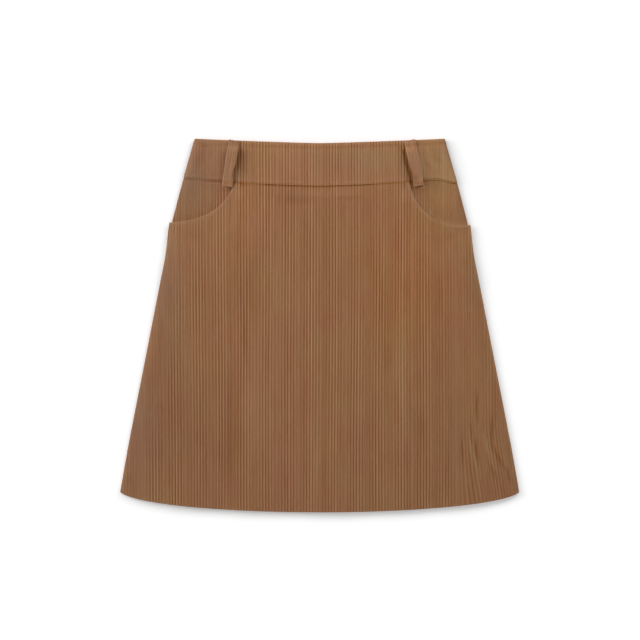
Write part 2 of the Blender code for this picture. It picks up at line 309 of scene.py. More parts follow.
# Soft oval patches: the middle's x and y, the reach across and down, and the strength.
# How much warmer in colour:
WARMER = (
    (-172, 200, 34, 45, -0.08),
    (-205, 60, 20, 80, -0.09),
    (60, 215, 60, 14, -0.04),
    (206, 85, 12, 40, -0.06),
    (-238, -120, 24, 90, -0.08),
    (165, 212, 16, 22, -0.07),
    (115, 55, 50, 80, 0.05),
    # These last two paint warmer, lighter colour into the shadows under the front loops' feet:
    (-122, 180, 7, 3, 0.1),
    (129, 180, 7, 3, 0.16),
)
# Painted warmer, lighter colour in shadows: along the front's waist seam, beside each front loop, and on
# each front loop's shaded bend above its foot
SEAM_WARMTH = 0.12
LOOP_WARMTH = {-1: 0.06, 1: 0.12}  # in the shadow beside each front loop
FOOT_WARMTH = {-1: 0.12, 1: 0.14}
# How far the hue turns to yellow:
YELLOWER = (
    (165, 205, 30, 40, 0.014),
    (206, 90, 16, 50, 0.012),
    (140, 150, 25, 25, 0.005),
    (-200, 105, 16, 30, 0.009),
    (75, 220, 60, 12, 0.007),
)
# How much flatter the wales are pressed:
PRESSED = (
    (-103, 128, 20, 28, 0.5),
    (-86, 206, 13, 20, 0.35),
    (86, 208, 20, 24, 0.5),
    (76, 155, 20, 50, 0.35),
    (41, 150, 13, 40, 0.25),
    (168, -105, 9, 105, 0.55),
    (196, -40, 20, 80, 0.4),
    (-178, -26, 36, 16, 0.7),
    (-184, 118, 26, 24, 0.4),
)
# How much lighter the whole cloth is: painted light and shade that partly evens out the lamps' fall across
# the garment, and partly the cloth's own uneven tone:
BROAD_LIGHT_AND_SHADE = (
    (-215, -120, 60, 110, -0.09),
    (-190, 80, 50, 120, -0.05),
    (-90, 145, 22, 40, 0.11),
    (166, 190, 16, 34, 0.14),
    (156, 160, 22, 22, 0.07),
    (197, 115, 10, 16, 0.12),
    (118, 90, 14, 60, 0.07),
    (-168, 165, 16, 26, -0.08),
    (-222, -20, 10, 20, 0.1),
    (-246, -205, 12, 14, -0.1),
    (-116, 198, 10, 8, 0.06),
    (-36, 169, 18, 9, -0.09),
    (-190, -40, 20, 60, -0.05),
    (-170, -140, 40, 80, -0.06),
    (222, 75, 9, 60, 0.07),
    (-118, -150, 15, 60, -0.06),
    (170, -120, 12, 90, -0.06),
)
# Painted light and shade on the pile: the loops' shadows lightened or deepened around their heads and feet,
# and short dark and light dashes along the waist seam and the band's top edge:
PAINTED_LIGHT_AND_SHADE = (
    (-102, 183.5, 5.5, 3, -0.12),
    (-121, 180.2, 7, 1.8, 0.6),
    (130, 180.8, 7, 1.8, 0.75),
    (-122, 176.5, 7, 3, -0.1),
    (127, 176.5, 7, 3, -0.06),
    (-104.5, 235, 4.5, 6, 0.3),
    (-107.5, 192, 4, 9, 0.45),
    (107, 229, 4.5, 6, -0.3),
    (-107, 171, 6, 8, 0.12),
    (110, 170, 6, 8, 0.2),
    (-138, 187.8, 9, 1.3, -0.25),
    (-140, 184.9, 9, 1.2, 0.18),
    (-106, 185.6, 8, 1.3, -0.22),
    (95, 184.9, 16, 1.3, -0.15),
    (-149, 233.3, 6, 2, -0.3),
    (-138, 237.2, 24, 1.8, 0.14),
)


def patches(x, y, rows):
    total = 0
    for at_x, at_y, across, down, strength in rows:
        total = total + strength * bell(np.hypot((x - at_x) / across, (y - at_y) / down), 1)
    return total


def shadow_warmth(x, y):
    """Painted warmer and lighter colour in the shadows of the front's waist seam and belt loops."""
    seam = SEAM_WARMTH * (0.5 + 0.5 * bell(x, 60)) * bell(below_seam(x, y), 1.2)
    return seam + np.where(x < 0, LOOP_WARMTH[-1], LOOP_WARMTH[1]) * beside_loops(x, y)


def nap(x, y):
    """How strongly the wales show from place to place."""
    return (1 + 0.22 * unevenness(x * 1.7, y * 0.5, 5)) * (1 - patches(x, y, PRESSED))


def wander(x, y):
    """How far a wale has moved sideways from its straight line."""
    slow = 0.7 * np.sin(x / 61 + 1.3) * np.sin(y / 113 + 0.4) + 0.25 * np.sin(x / 23 - y / 71)
    below = LEAN_TOP_Y - y
    lean = LEAN * (np.sqrt(below**2 + LEAN_SOFT**2) + below) / 2
    return slow + lean * ramp(x, LEAN_LEFT_X, LEAN_WIDE)


def flat_at(z):
    return lambda x, y: z + 0 * x


zero = flat_at(0)


def unmoved(x, y):
    return x, y


# ---- outlines, from left to right


def mouth(side, points=40):
    """The pocket's mouth from the waist seam to the side seam, as if it were on the right."""
    pocket = POCKETS[side]
    u = 0
    for _ in range(8):
        u = pocket["mouth_x"] / half_width(seam_y(u))
    start = np.array((pocket["mouth_x"], seam_y(u) - SEAM_GAP / 2))
    end = np.array((half_width(pocket["end_y"]), pocket["end_y"]))
    fall, run = start + pocket["fall"], end + pocket["run"]
    t = np.linspace(0, 1, points)[:, None]
    s = 1 - t
    return bulged(s**3 * start + 3 * t * s**2 * fall + 3 * t * t * s * run + t**3 * end)


def bulged(line):
    """A line on the right, with its side edge standing out at the pocket's end."""
    x, y = line.T
    edge = np.maximum(1 - (1 - x / half_width(y)) / ROLL_BELOW, 0)
    out = POCKET_BULGE * edge * (1 - ramp(y, POCKET_END_Y, -POCKET_BULGE_FADES))
    return np.stack((x + out, y), -1)


def side_edge(top, bottom, points=40):
    y = np.linspace(top, bottom, points)
    return np.stack((half_width(y), y), -1)


def level(u, height, shift=0):
    """A line across the skirt whose height depends on u."""
    return np.stack((u * half_width(height(u)), height(u) + shift), -1)


def row_at(x, y):
    """A straight row of places at one height."""
    return np.column_stack((x, np.full(len(x), y)))


def seam_line(side, u0, u1, shift, points=30):
    """The waist seam on one side, as if that were the right."""
    return level(side * np.linspace(u0, u1, points), seam_y, shift) * (side, 1)


def mirrored(line):
    return (line * (-1, 1))[::-1]


def joined(*lines):
    return np.vstack(lines)


def turned(side, top, low):
    """A right-hand outline, or its mirror on the left."""
    return (top, low) if side > 0 else (mirrored(top), mirrored(low))


def front_outline():
    left, right = (
        joined(mouth(side), bulged(side_edge(POCKETS[side]["end_y"], hem_y(1))[1:])) for side in (-1, 1)
    )
    u = np.linspace(-1, 1, 121)
    seam = level(u, seam_y, -SEAM_GAP / 2)
    seam = seam[(seam[:, 0] > -left[0][0]) & (seam[:, 0] < right[0][0])]
    return joined(mirrored(left), seam, right), place(u, 1)


def back_outline(side):
    u = np.linspace(0, 1, 61)
    seam = seam_line(side, 0, 1, -SEAM_GAP / 2)
    low = place(u, 1 - BACK_HEM_SHORT)
    edge = side_edge(seam[-1][1], low[-1][1])[1:]
    seam[0][0] = low[0][0] = SEAM_HALF
    return turned(side, joined(seam, edge), low)


def facing_outline(side):
    edge_v = np.linspace(0, FACING_END_V, 24)
    u = np.linspace(FACING_INNER_U, 1, 24)
    inner = place(FACING_INNER_U, edge_v)
    inner[0][1] -= SEAM_GAP / 2
    top = joined(seam_line(side, FACING_INNER_U, 1, -SEAM_GAP / 2), place(1, edge_v[2:]))
    return turned(side, top, joined(inner, place(u[1:], FACING_END_V)))


def band_half(side, inner):
    top = level(np.linspace(0, 1, 50), top_y)
    low = seam_line(side, 0, 1, SEAM_GAP / 2, 50)
    top = joined(top, side_edge(WAIST_Y, low[-1][1], 24)[1:])
    top[0][0] = low[0][0] = inner
    return turned(side, top, low)


def front_band_outline():
    left, right = band_half(-1, 0), band_half(1, 0)
    return [joined(left[k], right[k][1:]) for k in (0, 1)]


def shorts_outline(side, is_front):
    """Half of the shorts; their back leaves room for the zip."""
    v = np.linspace(0, SHORTS_HEM_V, 40)
    inner = GAP / 2 if is_front else ZIP_ROOM
    seam = seam_line(side, inner / half_width(SEAM_Y), SHORTS_EDGE_U, -SEAM_GAP / 2)
    seam[0][0] = inner
    if not is_front:
        below_zip = (GAP / 2, place(0, SHORTS_CROTCH_V)[1]), (inner - NOTCH_STEP, place(0, ZIP_END_V)[1])
        seam = joined(below_zip, seam)
    top = joined(seam, place(SHORTS_EDGE_U, v[1:]))
    leg = place(0, np.linspace(SHORTS_CROTCH_V, SHORTS_HEM_V, 12))
    leg[:, 0] = GAP / 2 + SHORTS_LEG_GAP * np.linspace(0, 1, 12)
    hem = place(np.linspace(0.1, SHORTS_EDGE_U, 30), SHORTS_HEM_V)
    return turned(side, top, joined(leg, hem))


# ---- shells


def distance(x, y, line):
    """How far places are from a line of points."""
    px, py = x.ravel(), y.ravel()
    best = 1e9
    for (ax, ay), (bx, by) in zip(line[:-1], line[1:]):
        dx, dy = bx - ax, by - ay
        t = np.clip(((px - ax) * dx + (py - ay) * dy) / max(dx * dx + dy * dy, 1e-12), 0, 1)
        best = np.minimum(best, (px - ax - t * dx) ** 2 + (py - ay - t * dy) ** 2)
    return np.sqrt(best).reshape(np.shape(x))


EDGE_ROWS = (0, 0.05, 0.18, 0.38, 0.65, 1.1, 1.8, 2.8, 4.2, 6, 8.5, 12, 16, 21, 27, 34, 42, 52)
HEM_ROWS = (0, 0.05, 0.18, 0.38, 0.65, 1.1, 2, 3.5, 5.5, 8, 12, 18, 25, 31)
FULL_LENGTH = 130  # shorter columns have their rows drawn together
END_COLUMNS = (0, 0.06, 0.2, 0.42, 0.7)
POINTED = 1.5  # an end shorter than this is pointed
NOTCH_STEP = 0.02
MIDDLE_WALE = 200  # the column of the noise that belongs to the wale in the middle


def rows_down(length, middle):
    """How far down its column each row of points lies, for columns of these lengths."""
    share = np.minimum(length / FULL_LENGTH, 1)[:, None]
    first = np.array(EDGE_ROWS) * share
    last = length[:, None] - np.array(HEM_ROWS[::-1]) * share
    t = np.linspace(0, 1, middle + 2)[1:-1]
    between = first[:, -1:] + (last[:, :1] - first[:, -1:]) * t
    return np.hstack((first, between, last))


def column_places(first, last, step, is_pointed, notch):
    """Where the columns stand: six to a wale, or evenly, with closer ones at a straight end or a notch."""
    if step is None:
        n = np.arange(math.floor(first / WALE), math.ceil(last / WALE) + 1)
        inner = (n[:, None] + np.array(WALE_STEPS)).ravel() * WALE
    else:
        inner = np.linspace(first, last, max(int((last - first) / step), 4))
    ends = []
    for at, sign, pointed in ((first, 1, is_pointed[0]), (last, -1, is_pointed[1])):
        ends += [at + sign * 0.4] if pointed else [at + sign * s for s in END_COLUMNS]
    margin = 0.5 if any(is_pointed) else END_COLUMNS[-1]
    inner = inner[(inner > first + margin + 0.15) & (inner < last - margin - 0.15)]
    if notch is not None:
        inner = inner[np.abs(inner - notch) > 1]
        outward = math.copysign(1, notch)
        ends += [notch - outward * NOTCH_STEP] + [notch + outward * s for s in END_COLUMNS]
    return np.sort(np.concatenate((inner, ends)))


def shell(node, outline, under, over, outside=1, depth=None, wanders=wander, step=None, middle=22,
          edge=0.63, seat=unmoved, tint=zero, shade=zero, warmth=zero, notch=None):
    """A thin closed shell between two faces, with a rounded rim, in the place of one CAD solid.

    under and over give the faces' heights. outside is 1 where the cloth's outer face is the top one, or
    -1. depth gives the wales' depth on it; step is the space between columns where there are no wales.
    edge is the rim's radius. seat turns places into the garment's. tint makes the pile lighter or darker,
    shade the whole cloth, and warmth its colour warmer and lighter; all three carry painted light and shade
    as well as the cloth's own uneven colour.
    notch is where the outline has a step.
    """
    top, low = outline
    xi_top, xi_low = top[:, 0] - wanders(*top.T), low[:, 0] - wanders(*low.T)
    first, last = max(xi_top[0], xi_low[0]), min(xi_top[-1], xi_low[-1])
    is_pointed = [top[k][1] - low[k][1] < POINTED for k in (0, -1)]
    xi = column_places(first, last, step, is_pointed, notch)
    start, end = np.interp(xi, xi_top, top[:, 1]), np.interp(xi, xi_low, low[:, 1])
    y = start[:, None] - rows_down(start - end, middle)
    xi = np.broadcast_to(xi[:, None], y.shape)
    x = xi
    for _ in range(6):
        x = xi + wanders(x, y)

    rim = distance(x, y, joined(top, low[::-1], top[:1]))
    radius = edge(x, y) if callable(edge) else edge
    fall = radius - np.sqrt(np.maximum(radius**2 - (radius - np.minimum(rim, radius)) ** 2, 0))
    low_z, high_z = under(x, y) + fall, over(x, y) - fall

    number = np.floor(xi / WALE + 1e-6).astype(int) + MIDDLE_WALE
    phase = xi / WALE + MIDDLE_WALE - number
    noise = WALE_NOISE[:, number]
    height = 0.5 + 0 * x
    tone = tint(x, y)
    if depth is not None:
        ridge = 1 - np.abs(2 * phase - 1) ** 3
        ridge = np.where(np.abs(phase) < 1e-3, 0, ridge * (1 + 0.1 * noise[0]))
        strength = depth(x, y)
        height = WALE_MEAN + (ridge - WALE_MEAN) * np.minimum(strength / WALE_DEPTH, 1.4)
        lift = CREST if outside > 0 else CREST_UNDER
        lift = lift - strength * (1 - ridge) + 0.05 * noise[1] * np.minimum(ridge, 1)
        lift = lift * smooth(rim / 0.6)
        high_z, low_z = (high_z + lift, low_z) if outside > 0 else (high_z, low_z - lift)
        tone = tone + BEAT_TONE * strength / WALE_DEPTH * np.cos(2 * math.pi * xi / BEAT)
    tone = tone + 0.07 * noise[2]
    warm = max(outside, 0) * (patches(x, y, WARMER) + shadow_warmth(x, y)) + warmth(x, y)

    px, py = seat(x, y)
    points = np.vstack([np.stack((px, py, z), -1).reshape(-1, 3) for z in (low_z, high_z)])
    across, down = x.shape
    count = across * down
    at = np.arange(count).reshape(across, down)
    quad = np.stack((at[:-1, :-1], at[:-1, 1:], at[1:, 1:], at[1:, :-1]), -1).reshape(-1, 4)
    loop = np.concatenate((at[0], at[1:, -1], at[-1, -2::-1], at[-2:0:-1, 0]))
    after = np.roll(loop, -1)
    rim_faces = np.stack((loop, after, after + count, loop + count), -1)
    faces = np.vstack((quad + count, quad[:, ::-1], rim_faces))
    outer = np.repeat((outside < 0, outside > 0), count)
    return mesh_object(f"{node}_cloth", points, faces, outer=outer, rim=twice(rim), tone=twice(tone),
                       pile=np.where(outer, twice(height), 0.5), shade=twice(shade(x, y)),
                       warmth=twice(warm), yellow=twice(patches(x, y, YELLOWER)))


def twice(values):
    """The same values for the lower and the upper face."""
    return np.tile(values.ravel(), 2)


def put(name, data):
    """A new object in the scene."""
    made = bpy.data.objects.new(name, data)
    bpy.context.scene.collection.objects.link(made)
    return made


def mesh_object(name, points, faces, **values):
    mesh = bpy.data.meshes.new(name)
    mesh.from_pydata((points * MM).tolist(), [], faces.tolist())
    mesh.polygons.foreach_set("use_smooth", np.ones(len(mesh.polygons), bool))
    for key, value in values.items():
        attribute = mesh.attributes.new(key, "FLOAT", "POINT")
        attribute.data.foreach_set("value", np.asarray(value, np.float32))
    mesh.update()
    return put(name, mesh)


# ---- materials


class Look:
    """A material's or a world's nodes, wired from its outer sockets in."""

    def __init__(self, owner, outer, **sockets):
        owner.use_nodes = True
        self.owner, self.tree = owner, owner.node_tree
        self.outer = self.tree.nodes[outer]
        for key, value in sockets.items():
            self.wire(self.outer.inputs[key.replace("_", " ")], value)

    def add(self, kind, values=None, output=0, **settings):
        made = self.tree.nodes.new("ShaderNode" + kind)
        for key, value in settings.items():
            setattr(made, key, value)
        for key, value in (values or {}).items():
            self.wire(made.inputs[key], value)
        return made.outputs[output]

    def wire(self, socket, value):
        if isinstance(value, bpy.types.NodeSocket):
            self.tree.links.new(value, socket)
        else:
            socket.default_value = value

    def math(self, operation, a, b=0, c=0):
        return self.add("Math", {0: a, 1: b, 2: c}, operation=operation)

    def vector(self, operation, *values, output=0):
        return self.add("VectorMath", dict(enumerate(values)), output, operation=operation)

    def mix(self, share, colour, dark, light):
        """One colour, from darker to lighter."""
        ends = {"Color1": rgba(colour, dark), "Color2": rgba(colour, light)}
        return self.add("MixRGB", {"Fac": share, **ends})

    def value(self, name):
        return self.add("Attribute", output="Fac", attribute_name=name)

    def place(self):
        return self.add("TexCoord", output="Object")

    def noise(self, size, detail=2):
        """Noise whose grains have this size in millimetres along X, Y and Z, centred on 0."""
        place = self.vector("MULTIPLY", self.place(), [1 / (s * MM) for s in size])
        grain = self.add("TexNoise", {"Vector": place, "Scale": 1, "Detail": detail}, "Fac")
        return self.math("SUBTRACT", grain, 0.5)

    def bands(self, place, way, size, distortion):
        """Bands across the given way, this many millimetres apart."""
        wave = {"Vector": place, "Scale": 0.314 / (size * MM), "Distortion": distortion}
        return self.add("TexWave", wave, "Fac", bands_direction=way)

    def total(self, start, *terms):
        for term, weight in terms:
            start = self.math("MULTIPLY_ADD", term, weight, start)
        return start

    def following(self, colour, swing):
        """A colour whose red, green and blue follow light and dark by their own amounts."""
        channels = self.vector("MULTIPLY_ADD", swing, FOLLOW, (1,) * 3)
        return self.vector("MULTIPLY", self.vector("MAXIMUM", channels, (0.05,) * 3), colour)

    def finish(self, colour, brightness, hue, bump, bump_strength, bump_distance, saturation=1):
        shade = {"Color": colour, "Value": brightness, "Hue": hue, "Saturation": saturation}
        self.wire(self.outer.inputs["Base Color"], self.add("HueSaturation", shade))
        relief = {"Height": bump, "Strength": bump_strength, "Distance": bump_distance * MM}
        self.wire(self.outer.inputs["Normal"], self.add("Bump", relief))
        return self.owner


def material(name, **sockets):
    return Look(bpy.data.materials.new(name), "Principled BSDF", **sockets)


def rgba(colour, scale=1):
    return (*(c * scale for c in colour), 1)


WHITE = rgba((1, 1, 1))


# The grooves are darker and the crests lighter: partly the ground weave's own colour, partly painted shade
# in the grooves and painted light on the crests. FOLLOW turns lit pile paler and deep pile richer, as
# painted sheen and light bounced in the grooves.
GROOVE_TONE, CREST_TONE, INSIDE_TONE = -0.3, 0.1, -0.14
FOLLOW = (0.56, 0.95, 1.42)  # light pile is paler and deep pile richer in colour


def corduroy(name, colour, contrast):
    """Cotton corduroy: pile on round wales, ground weave in the grooves and on the inside."""
    look = material(name, Roughness=0.93, Specular_IOR_Level=0.18, Sheen_Weight=0.22,
                    Sheen_Roughness=0.45, Sheen_Tint=rgba((0.75, 0.55, 0.38)))
    pile, outer = look.value("pile"), look.value("outer")
    streak = look.noise((0.9, 15, 3))
    brushed = look.noise((1.9, 75, 6), 1)
    tuft = look.noise((0.75, 0.55, 0.6), 3)
    fibre = look.noise((0.2, 0.26, 0.2), 1)
    mottle = look.noise((26, 40, 30))
    stain = look.noise((75, 90, 60), 1)
    raised = look.math("POWER", look.total(pile, (tuft, 0.22)), 1.15)
    relief_tone = contrast * (CREST_TONE - GROOVE_TONE)
    wales = look.total(contrast * GROOVE_TONE - INSIDE_TONE, (raised, relief_tone))
    wales = look.math("MULTIPLY_ADD", wales, outer, INSIDE_TONE)
    worn = look.math("MULTIPLY", look.math("SUBTRACT", 1.6, look.value("rim")), 0.05)
    worn = look.math("MAXIMUM", worn, 0)
    swing = look.total(wales, (streak, 0.28), (brushed, 0.4), (tuft, 0.6), (fibre, 0.45), (mottle, 0.12),
                       (look.value("tone"), 1), (worn, 1))
    cloth = look.following(colour, swing)
    hue = look.total(0.5, (stain, 0.018), (mottle, 0.01), (tuft, 0.02), (look.value("yellow"), 1))
    relief = look.total(0.5, (tuft, 1.1), (fibre, 0.9), (streak, 0.3))
    warmth = look.value("warmth")
    even = look.total(1, (look.value("shade"), 1), (warmth, 1))
    return look.finish(cloth, even, hue, relief, 0.8, 0.45, look.total(1, (warmth, 1)))


def plain_weave(name, colour, thread_size):
    """A light plain-woven cotton."""
    look = material(name, Roughness=0.86, Specular_IOR_Level=0.2, Sheen_Weight=0.12, Sheen_Roughness=0.5)
    place = look.place()
    weave = look.math("MULTIPLY", *(look.bands(place, way, thread_size, 0.6) for way in ("X", "Y")))
    slub, mottle = look.noise((0.5, 9, 2)), look.noise((30, 30, 20))
    cloth = look.mix(weave, colour, 0.72, 1.22)
    light = look.total(1, (slub, 0.2), (mottle, 0.14))
    hue = look.total(0.5, (mottle, 0.012))
    return look.finish(cloth, light, hue, look.total(weave, (slub, 0.5)), 0.5, 0.12)


def twisted_thread(name, colour):
    look = material(name, Roughness=0.62, Specular_IOR_Level=0.35, Sheen_Weight=0.1)
    ply = look.bands(look.place(), "DIAGONAL", 0.35, 1)
    grain = look.noise((0.3, 0.3, 0.3))
    cloth = look.mix(ply, colour, 0.75, 1.15)
    return look.finish(cloth, look.total(1, (grain, 0.25)), 0.5, ply, 0.6, 0.1)


# ---- the pieces

# Colour, and how strongly the wales show. These are copies of one corduroy: the band and loop copies are
# painted lighter, as lit copies, and the facing copy is darker.
CORDUROYS = {
    "corduroy": ((0.313, 0.1485, 0.0685), 1),
    "corduroy_band": ((0.329, 0.1595, 0.0755), 1),
    "corduroy_loop": ((0.328, 0.166, 0.087), 0.8),
    "corduroy_facing": ((0.29, 0.137, 0.0645), 0.8),
}
# Colour, and the size of the yarn
WEAVES = {"shorts_cloth": ((0.15, 0.078, 0.045), 0.42), "zip_tape": ((0.12, 0.062, 0.036), 0.55)}
LOOKS = {slot: corduroy(slot, *values) for slot, values in CORDUROYS.items()}
LOOKS |= {slot: plain_weave(slot, *values) for slot, values in WEAVES.items()}
THREAD_LOOK = twisted_thread("thread", (0.34, 0.17, 0.085))

MOUTHS = {side: mouth(side) * (side, 1) for side in (-1, 1)}
TOPSTITCH = 7  # below the band's top edge
EDGE_STITCH = 6.2  # above the waist seam
SEAM_RIDGE = 3.4  # the middle of the ridge between that line and the seam
POCKET_STITCH = 4.2  # inside the pocket's mouth
TACK_HALF, TACK_FRONT, TACK_BACK = 5.6, 3.5, 3  # half the length of a loop's tacks, and their height on it
THREAD_ROOM = 0.38  # an underside stitch needs this much above the floor
HEM_TURN, HEM_TURN_THICK = 30, 1.1
BAND_ENDS_X = 112  # from here out the band's wales are pressed flat


def over_facing(u, v):
    """From 0 to 1 where the front lies over a pocket's facing."""
    return ramp(np.abs(u), *FACING_BEGINS_U) * ramp(v, *FACING_ENDS_V)


def inset(u):
    """From 0 at the side seams to 1 where the roll ends."""
    return smooth((1 - np.abs(u)) / ROLL_BELOW)


def mouth_distance(x, y):
    near = [np.where(np.sign(x) == side, distance(x, y, MOUTHS[side]), 1e3) for side in (-1, 1)]
    return np.minimum(*near)


def front_form(x, y):
    u, v = lattice(x, y)
    over = over_facing(u, v)
    loft = PUFF * (1 - over) * table(v, PUFF_DOWN) + fold_height(u, v)
    return rise(u, v) + over * (FACING + GAP) + loft * inset(u)


def hem_turn(x, y):
    """How thick the hem's turn-up is, where the layers leave room for it."""
    room = np.clip((front_form(x, y) - CLOTH - GAP) / 2, 0, HEM_TURN_THICK)
    return room * ramp(y - hem_y(u_at(x, y)), HEM_TURN, -1.5)


def front_over(x, y):
    """The front's outside, with its creases, the pockets' turned rims and the pull of the seams."""
    below, at_mouth = below_seam(x, y), mouth_distance(x, y)
    small = 0.3 + 0.22 * unevenness(x, y, 1) + creased(x, y, FRONT_CREASES)
    small = small * inset(u_at(x, y)) * smooth(below / 14) * smooth(at_mouth / 10)
    rim = 0.3 * (1 - ramp(at_mouth, POCKET_STITCH, 1.2)) - 0.3 * bell(at_mouth - POCKET_STITCH, 0.8)
    return front_form(x, y) + CLOTH + small + rim - 0.1 * bell(below, 1.8)


def front_depth(x, y):
    u = u_at(x, y)
    left = 0.72 * ramp(u, -0.83, -0.07) * ramp(y, 125, -15)
    right = 0.45 * ramp(u, 0.7, 0.1)
    rim = 0.6 * (1 - ramp(mouth_distance(x, y) - POCKET_STITCH, -0.8, 1.5))
    return WALE_DEPTH * (1 - left) * (1 - right) * (1 - rim) * nap(x, y)


# Painted light and shade on the front: a highlight along each pocket's turned rim, light on the right
# mouth's edge, lighter rolled side edges (mostly the right) and hem, the creases' and loops' marks, and
# painted shade below the waist seam.
def front_tint(x, y):
    at_mouth = mouth_distance(x, y)
    rim = 0.05 * (1 - ramp(at_mouth, 2.6, 2))
    hem = 0.12 * bell(y - hem_y(u_at(x, y)), 1.6)
    edges = np.where(x > 0, 0.24, 0.02) * bell(from_side(x, y), 2.4) + hem
    small = CREASE_PAINTED_SHADE * creased(x, y, FRONT_CREASES) + patches(x, y, PAINTED_LIGHT_AND_SHADE)
    left = ramp(x, 35, -25)
    seam = 0.18 * bell(below_seam(x, y) - 0.8 * left, 0.9 + 1.1 * left)
    fold = 0.12 * bell(at_mouth - 3.4, 2.2) * (1 - 0.8 * ramp(x, 134, 14))
    fold = fold + 0.12 * bell(at_mouth, 1.4) * ramp(x, 110, 12)
    return rim + fold + small - seam + edges + 0.03 * unevenness(x, y, 9)


def band_lines(x, y):
    """Distances below the band's top edge and above the waist seam."""
    u = u_at(x, y)
    return top_y(u) - y, y - seam_y(u)


def band_fold(x, y):
    """How far the band's outer face falls away at its side folds and its top fold."""
    u = u_at(x, y)
    side = np.maximum(1 - (1 - np.abs(u)) / 0.04, 0)
    top = np.maximum(1 - (top_y(u) - y) / np.maximum(top_y(u) - seam_y(u), 1) / 0.06, 0)
    return np.maximum(2.2 * side**2, 1.3 * top**2)


def strap_frame(head, foot):
    """A belt loop's head, its direction down and its direction across, and its length."""
    length = float(np.linalg.norm(foot - head))
    down = (foot - head) / length
    return head, down, np.array((-down[1], down[0])), length


def front_strap(side):
    head_x, foot_x = FRONT_LOOPS[side]
    head = np.array((side * head_x, top_y(head_x / half_width(WAIST_Y)) - GAP))
    foot = np.array((side * foot_x, seam_y(foot_x / half_width(SEAM_Y)) - FRONT_LOOP_FOOT))
    return strap_frame(head, foot)


def seated(strap):
    """Turns places on a belt loop into places on the garment."""
    head, down, across, _ = strap
    return lambda x, y: tuple(head[k] + across[k] * x - down[k] * y for k in (0, 1))


def near_loop(side, x, y):
    """Places as seen from a front loop: below its head and across it; and the loop's length."""
    head, down, across, length = front_strap(side)
    x, y = x - head[0], y - head[1]
    return x * down[0] + y * down[1], x * across[0] + y * across[1], length


def drawn_in(side, s):
    """How far a front loop's inner edge draws in, s below its head."""
    middle, reach, most = LOOP_DRAWN_IN[side]
    return most * bell(s - middle, reach)


def beside_loops(x, y):
    """Where each front loop pulls the band in along its inner edge, from 0 to 1."""
    total = 0
    for side in (-1, 1):
        s, across, length = near_loop(side, x, y)
        inner = -side * across - LOOP_WIDTH / 2 + drawn_in(side, s)
        along = ramp(s, 4, 12) * ramp(s, length + 2, -8)
        total = total + ramp(inner, -2.5, 2) * ramp(inner, 5.6, -3.4) * along
    return total


def outside_loop(x, y, middle=2, width=4.5):
    """Where the band swells against the right loop's outer edge, from 0 to 1."""
    s, across, length = near_loop(1, x, y)
    return bell(across - LOOP_WIDTH / 2 - middle, width) * ramp(s, 8, 10) * ramp(s, length - 6, -10)


def band_small(x, y, creases):
    below_top, above_seam = band_lines(x, y)
    small = 0.22 + 0.2 * unevenness(x, y, 2) + creased(x, y, creases)
    small = small * smooth(below_top / 8) * smooth(above_seam / 6)
    small = small * smooth((1 - np.abs(u_at(x, y))) / 0.06)
    lines = -0.45 * bell(below_top - TOPSTITCH, 1.2) - 0.25 * bell(above_seam - EDGE_STITCH, 0.9)
    return small + lines + 0.3 * bell(above_seam - SEAM_RIDGE, 1.6)


def band_over(x, y):
    beyond = ramp(np.abs(x), BAND_ENDS_X, 12)
    pull = 1.3 * beside_loops(x, y) + 0.8 * beyond * (1 - smooth(band_lines(x, y)[1] / 4))
    form = BAND_TOP + crown(u_at(x, y), 0) - band_fold(x, y)
    return form + band_small(x, y, BAND_CREASES) - pull + LOOP_SWELL * outside_loop(x, y)


def band_depth(x, y):
    below_top, above_seam = band_lines(x, y)
    plain = ramp(np.abs(x), BAND_ENDS_X, 8)
    lines = 0.5 * bell(below_top - TOPSTITCH, 1.4) + 0.4 * bell(above_seam - EDGE_STITCH, 1.2)
    return WALE_DEPTH * (1 - 0.72 * plain) * (1 - lines) * nap(x, y)


# Painted light and shade on the band: a highlight on the ridge above the waist seam, shade along the
# topstitch with a little light below it, the seam's shadow lightened in the middle and at the left end,
# darker side and top folds, shade beside the loops' inner edges, and light over the right loop's cast
# shadow.
def band_tint(x, y):
    below_top, above_seam = band_lines(x, y)
    lines = 0.12 * bell(above_seam - SEAM_RIDGE, 1.3) - 0.12 * bell(below_top - TOPSTITCH + 0.6, 1.7)
    seam = 0.32 * bell(x, 50) + 0.26 * ramp(x, -125, -15) - 0.08
    lines = lines + 0.06 * bell(below_top - 10.5, 2.4) + seam * bell(above_seam - 0.3, 1)
    lines = lines + CREASE_PAINTED_SHADE * creased(x, y, BAND_CREASES)
    edges = 0.14 * bell(from_side(x, y), 2.2) + 0.14 * bell(below_top, 1.6)
    loops = 0.1 * outside_loop(x, y) - 0.1 * beside_loops(x, y) + 0.3 * outside_loop(x, y, 0.6, 1.5)
    return lines + loops - edges + patches(x, y, PAINTED_LIGHT_AND_SHADE)


# Painted light and shade that partly evens out the lamps' fall, with the cloth's own uneven tone, in broad
# patches
def broad_shade(x, y):
    return patches(x, y, BROAD_LIGHT_AND_SHADE)


# The band's plain ends are also painted darker on the left and a little lighter on the right.
def band_shade(x, y):
    return broad_shade(x, y) + np.where(x < 0, -0.1, 0.02) * ramp(np.abs(x), BAND_ENDS_X, 8)


RING = 5  # points round a stitch
# Its rings of points: the share of its length, the height, and the share of its radius
STITCH = ((0, -0.3, 0.5), (0.14, 0.06, 1), (0.5, 0.14, 1.05), (0.86, 0.06, 1), (1, -0.3, 0.5))


def unit(way):
    return way / np.linalg.norm(way, axis=-1, keepdims=True)


